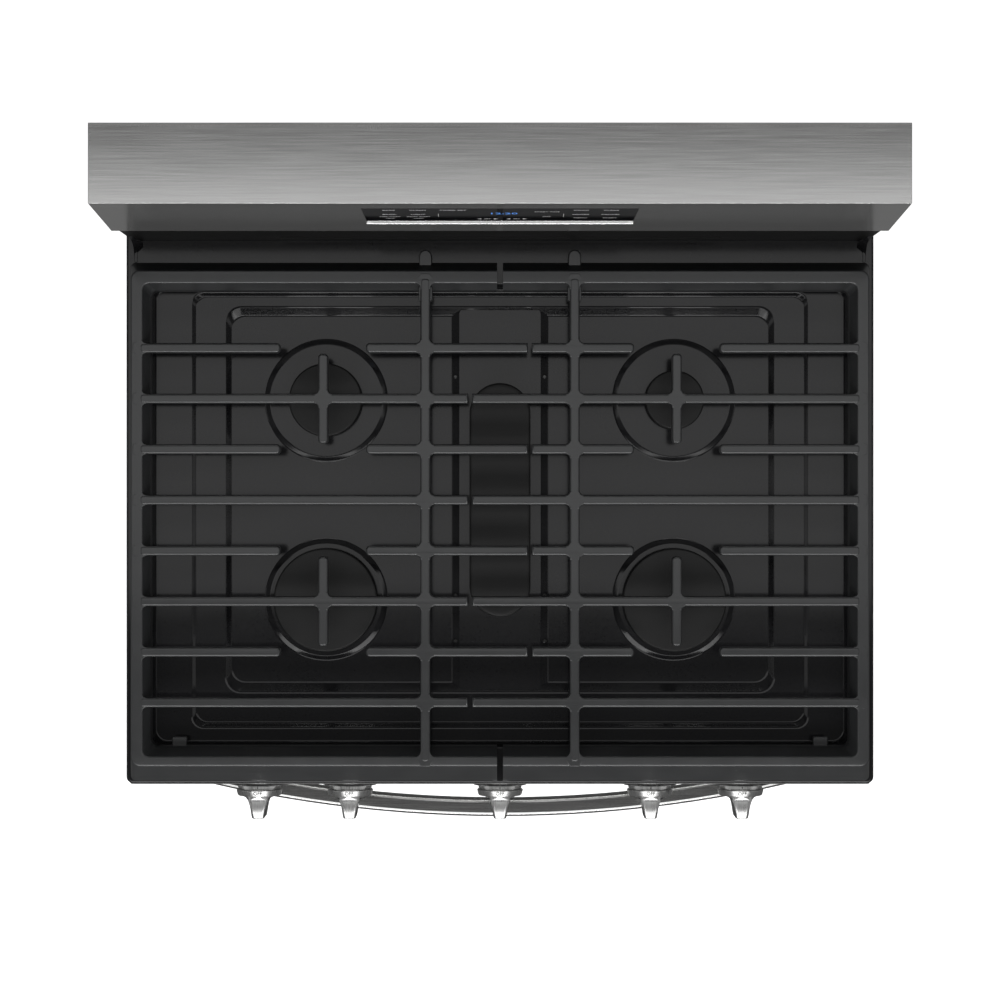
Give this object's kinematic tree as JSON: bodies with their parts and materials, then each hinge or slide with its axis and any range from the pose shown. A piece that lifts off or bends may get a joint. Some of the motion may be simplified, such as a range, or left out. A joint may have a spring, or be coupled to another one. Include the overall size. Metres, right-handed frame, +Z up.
{
  "type": "freestanding gas range",
  "caption": "Freestanding gas range with a drop-down oven door, storage drawer, lift-up cast-iron grates, round and oval burners, push-and-turn knobs and a raised control backguard.",
  "frame": {"origin": "on the floor under the middle of the range", "axes": "+Z up, the front faces -Y, +X to the right seen from the front"},
  "size_m": [0.759, 0.6852, 1.191],
  "materials": {
    "brushed_stainless": "fine side-to-side brushing, satin",
    "black_porcelain": "gloss porcelain enamel",
    "grate_iron": "matt enamelled casting",
    "burner_cap_enamel": "matt porcelain enamel",
    "burner_aluminium": "die-cast",
    "galvanised_steel": "zinc coated",
    "black_paint": "semi-gloss black",
    "oven_enamel": "speckled porcelain enamel",
    "control_black_glass": "black, polished",
    "oven_glass": "tinted, polished",
    "glass_fibre": "loose fibre blanket",
    "rack_chrome": "bright plated wire",
    "knob_satin": "satin, with dark blade sides",
    "valve_brass": "machined",
    "circuit_board": "green board",
    "door_seal": "woven seal",
    "leg_plastic": "moulded black"
  },
  "bodies": {
    "root": {"console_shell": "brushed_stainless", "manifold_panel": "brushed_stainless", "cooktop": "black_porcelain", "burner_base_left_front": "burner_aluminium", "burner_base_left_rear": "burner_aluminium", "burner_base_center": "burner_aluminium", "burner_base_right_rear": "burner_aluminium", "burner_base_right_front": "burner_aluminium", "gas_manifold": "burner_aluminium", "base_frame": "galvanised_steel", "front_frame": "galvanised_steel", "back_panel": "galvanised_steel", "oven_flue": "galvanised_steel", "bake_burner": "galvanised_steel", "broil_burner": "galvanised_steel", "side_panel_left": "black_paint", "side_panel_right": "black_paint", "backguard_riser": "black_paint", "oven_cavity": "oven_enamel", "oven_floor_plate": "oven_enamel", "control_glass": "control_black_glass", "oven_lamp_lens": "oven_glass", "oven_insulation": "glass_fibre", "temperature_probe": "rack_chrome", "gas_regulator": "valve_brass", "control_board": "circuit_board"},
    "oven_door": {"door_skin": "brushed_stainless", "door_liner": "oven_enamel", "door_glass_outer": "oven_glass", "door_glass_inner": "oven_glass", "door_handle": "brushed_stainless", "door_gasket": "door_seal", "door_hinge_left": "galvanised_steel", "door_hinge_right": "galvanised_steel"},
    "storage_drawer": {"drawer_front": "brushed_stainless", "drawer_box": "galvanised_steel"},
    "upper_rack": {"oven_rack_upper": "rack_chrome"},
    "lower_rack": {"oven_rack_lower": "rack_chrome"},
    "left_grate": {"grate_left": "grate_iron"},
    "right_grate": {"grate_right": "grate_iron"},
    "stem_left_front": {"valve_stem_left_front": "valve_brass"},
    "knob_body_left_front": {"knob_left_front": "knob_satin"},
    "stem_left_rear": {"valve_stem_left_rear": "valve_brass"},
    "knob_body_left_rear": {"knob_left_rear": "knob_satin"},
    "stem_center": {"valve_stem_center": "valve_brass"},
    "knob_body_center": {"knob_center": "knob_satin"},
    "stem_right_rear": {"valve_stem_right_rear": "valve_brass"},
    "knob_body_right_rear": {"knob_right_rear": "knob_satin"},
    "stem_right_front": {"valve_stem_right_front": "valve_brass"},
    "knob_body_right_front": {"knob_right_front": "knob_satin"},
    "cap_left_front": {"burner_cap_left_front": "burner_cap_enamel"},
    "cap_left_rear": {"burner_cap_left_rear": "burner_cap_enamel"},
    "cap_center": {"burner_cap_center": "burner_cap_enamel"},
    "cap_right_rear": {"burner_cap_right_rear": "burner_cap_enamel"},
    "cap_right_front": {"burner_cap_right_front": "burner_cap_enamel"},
    "leg_front_left": {"leveling_leg_front_left": "leg_plastic"},
    "leg_front_right": {"leveling_leg_front_right": "leg_plastic"},
    "leg_back_left": {"leveling_leg_back_left": "leg_plastic"},
    "leg_back_right": {"leveling_leg_back_right": "leg_plastic"}
  },
  "joints": [
    {"name": "oven_door_hinge", "type": "hinge", "parent": "root", "child": "oven_door", "pos_m": [0, -0.26985, 0.26788], "axis": [1, 0, 0], "range_deg": [0, 90], "stiffness_Nm_per_rad": 12, "springref_deg": -11.46},
    {"name": "storage_drawer_slide", "type": "slide", "parent": "root", "child": "storage_drawer", "axis": [0, -1, 0], "range_m": [0, 0.38]},
    {"name": "upper_rack_slide", "type": "slide", "parent": "root", "child": "upper_rack", "axis": [0, -1, 0], "range_m": [0, 0.28]},
    {"name": "lower_rack_slide", "type": "slide", "parent": "root", "child": "lower_rack", "axis": [0, -1, 0], "range_m": [0, 0.28]},
    {"name": "left_grate_hinge", "type": "hinge", "parent": "root", "child": "left_grate", "pos_m": [-0.0754, 0.24165, 0.924], "axis": [-1, 0, 0], "range_deg": [0, 60]},
    {"name": "right_grate_hinge", "type": "hinge", "parent": "root", "child": "right_grate", "pos_m": [0.0754, 0.24165, 0.924], "axis": [-1, 0, 0], "range_deg": [0, 60]},
    {"name": "left_front_knob_push", "type": "slide", "parent": "root", "child": "stem_left_front", "axis": [0, 1, 0], "range_m": [0, 0.0035], "stiffness_N_per_m": 900},
    {"name": "left_front_knob_turn", "type": "hinge", "parent": "stem_left_front", "child": "knob_body_left_front", "pos_m": [-0.249, -0.29865, 0.855], "axis": [0, -1, 0], "range_deg": [0, 240]},
    {"name": "left_rear_knob_push", "type": "slide", "parent": "root", "child": "stem_left_rear", "axis": [0, 1, 0], "range_m": [0, 0.0035], "stiffness_N_per_m": 900},
    {"name": "left_rear_knob_turn", "type": "hinge", "parent": "stem_left_rear", "child": "knob_body_left_rear", "pos_m": [-0.155, -0.29865, 0.855], "axis": [0, -1, 0], "range_deg": [0, 240]},
    {"name": "center_knob_push", "type": "slide", "parent": "root", "child": "stem_center", "axis": [0, 1, 0], "range_m": [0, 0.0035], "stiffness_N_per_m": 900},
    {"name": "center_knob_turn", "type": "hinge", "parent": "stem_center", "child": "knob_body_center", "pos_m": [0, -0.29865, 0.855], "axis": [0, -1, 0], "range_deg": [0, 240]},
    {"name": "right_rear_knob_push", "type": "slide", "parent": "root", "child": "stem_right_rear", "axis": [0, 1, 0], "range_m": [0, 0.0035], "stiffness_N_per_m": 900},
    {"name": "right_rear_knob_turn", "type": "hinge", "parent": "stem_right_rear", "child": "knob_body_right_rear", "pos_m": [0.155, -0.29865, 0.855], "axis": [0, -1, 0], "range_deg": [0, 240]},
    {"name": "right_front_knob_push", "type": "slide", "parent": "root", "child": "stem_right_front", "axis": [0, 1, 0], "range_m": [0, 0.0035], "stiffness_N_per_m": 900},
    {"name": "right_front_knob_turn", "type": "hinge", "parent": "stem_right_front", "child": "knob_body_right_front", "pos_m": [0.249, -0.29865, 0.855], "axis": [0, -1, 0], "range_deg": [0, 240]},
    {"name": "left_front_cap_lift", "type": "slide", "parent": "root", "child": "cap_left_front", "axis": [0, 0, 1], "range_m": [0, 0.01]},
    {"name": "left_rear_cap_lift", "type": "slide", "parent": "root", "child": "cap_left_rear", "axis": [0, 0, 1], "range_m": [0, 0.01]},
    {"name": "center_cap_lift", "type": "slide", "parent": "root", "child": "cap_center", "axis": [0, 0, 1], "range_m": [0, 0.01]},
    {"name": "right_rear_cap_lift", "type": "slide", "parent": "root", "child": "cap_right_rear", "axis": [0, 0, 1], "range_m": [0, 0.01]},
    {"name": "right_front_cap_lift", "type": "slide", "parent": "root", "child": "cap_right_front", "axis": [0, 0, 1], "range_m": [0, 0.01]},
    {"name": "front_left_leg_height", "type": "slide", "parent": "root", "child": "leg_front_left", "axis": [0, 0, -1], "range_m": [0, 0.02]},
    {"name": "front_right_leg_height", "type": "slide", "parent": "root", "child": "leg_front_right", "axis": [0, 0, -1], "range_m": [0, 0.02]},
    {"name": "back_left_leg_height", "type": "slide", "parent": "root", "child": "leg_back_left", "axis": [0, 0, -1], "range_m": [0, 0.02]},
    {"name": "back_right_leg_height", "type": "slide", "parent": "root", "child": "leg_back_right", "axis": [0, 0, -1], "range_m": [0, 0.02]}
  ],
  "couplings": [
    {"joint": "upper_rack_slide", "follows": "oven_door_hinge", "m_per_rad": 0.178},
    {"joint": "lower_rack_slide", "follows": "oven_door_hinge", "m_per_rad": 0.178}
  ]
}
